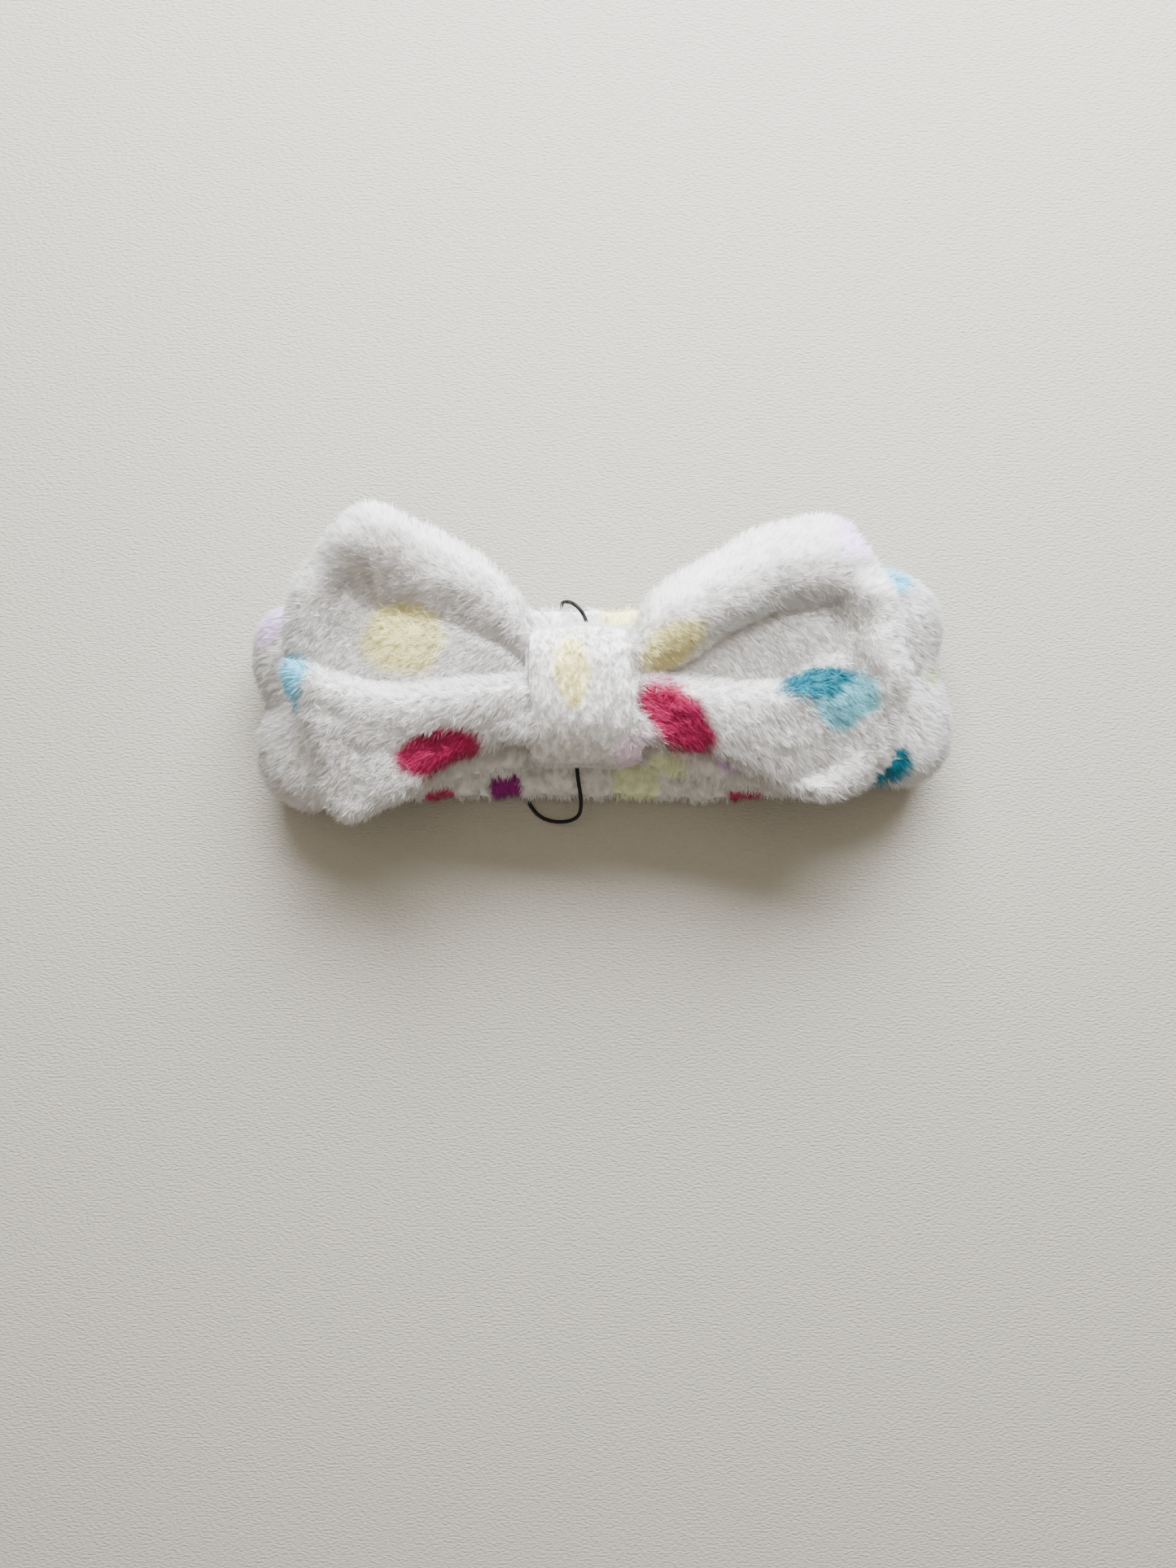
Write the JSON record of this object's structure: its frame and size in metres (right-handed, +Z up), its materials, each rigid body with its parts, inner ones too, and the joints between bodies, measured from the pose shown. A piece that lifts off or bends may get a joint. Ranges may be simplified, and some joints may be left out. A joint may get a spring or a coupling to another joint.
{
  "type": "hair bow",
  "caption": "Plush hair bow gathered through a wrapped knot on a soft elasticated wash band, lying collapsed, with a thin cord hang loop.",
  "frame": {"origin": "bottom centre of the whole outline, on the surface that the band lies on", "axes": "+X along the flat band, +Y across it towards the higher bow rims, +Z up"},
  "size_m": [0.2118, 0.0923, 0.0561],
  "materials": {
    "plush": "short-pile polyester plush, off-white with large soft-edged printed spots",
    "woven_elastic": "woven rubber-core elastic",
    "thread": "spun polyester sewing thread",
    "cord": "black braided elastic cord"
  },
  "bodies": {
    "rear": {"rear_casing_outer": "plush", "rear_casing_inner": "plush", "elastic_strip": "woven_elastic", "elastic_tacks": "thread", "rear_end_stitches": "thread", "side_fold_left": "plush", "side_fold_right": "plush", "hang_cord": "cord", "hang_cord_tie": "cord"},
    "front": {"front_casing_outer": "plush", "front_casing_inner": "plush", "front_end_stitches": "thread", "knot_wrap": "plush", "knot_stitches": "thread", "bow_waist": "plush", "waist_thread": "thread"},
    "wing_left": {"wing_left_front": "plush", "wing_left_back": "plush", "wing_left_seam": "thread"},
    "wing_right": {"wing_right_front": "plush", "wing_right_back": "plush", "wing_right_seam": "thread"}
  },
  "joints": [
    {"name": "band_stretch", "type": "slide", "parent": "rear", "child": "front", "axis": [0, 0, 1], "range_m": [0, 0.05], "stiffness_N_per_m": 60, "deforming": ["side_fold_left", "side_fold_right"]},
    {"name": "wing_left_flap", "type": "hinge", "parent": "front", "child": "wing_left", "pos_m": [-0.0287, -0.006, 0.0413], "axis": [0, 1, 0], "range_deg": [0, 60]},
    {"name": "wing_right_flap", "type": "hinge", "parent": "front", "child": "wing_right", "pos_m": [0.0177, -0.006, 0.0413], "axis": [0, -1, 0], "range_deg": [0, 60]}
  ]
}
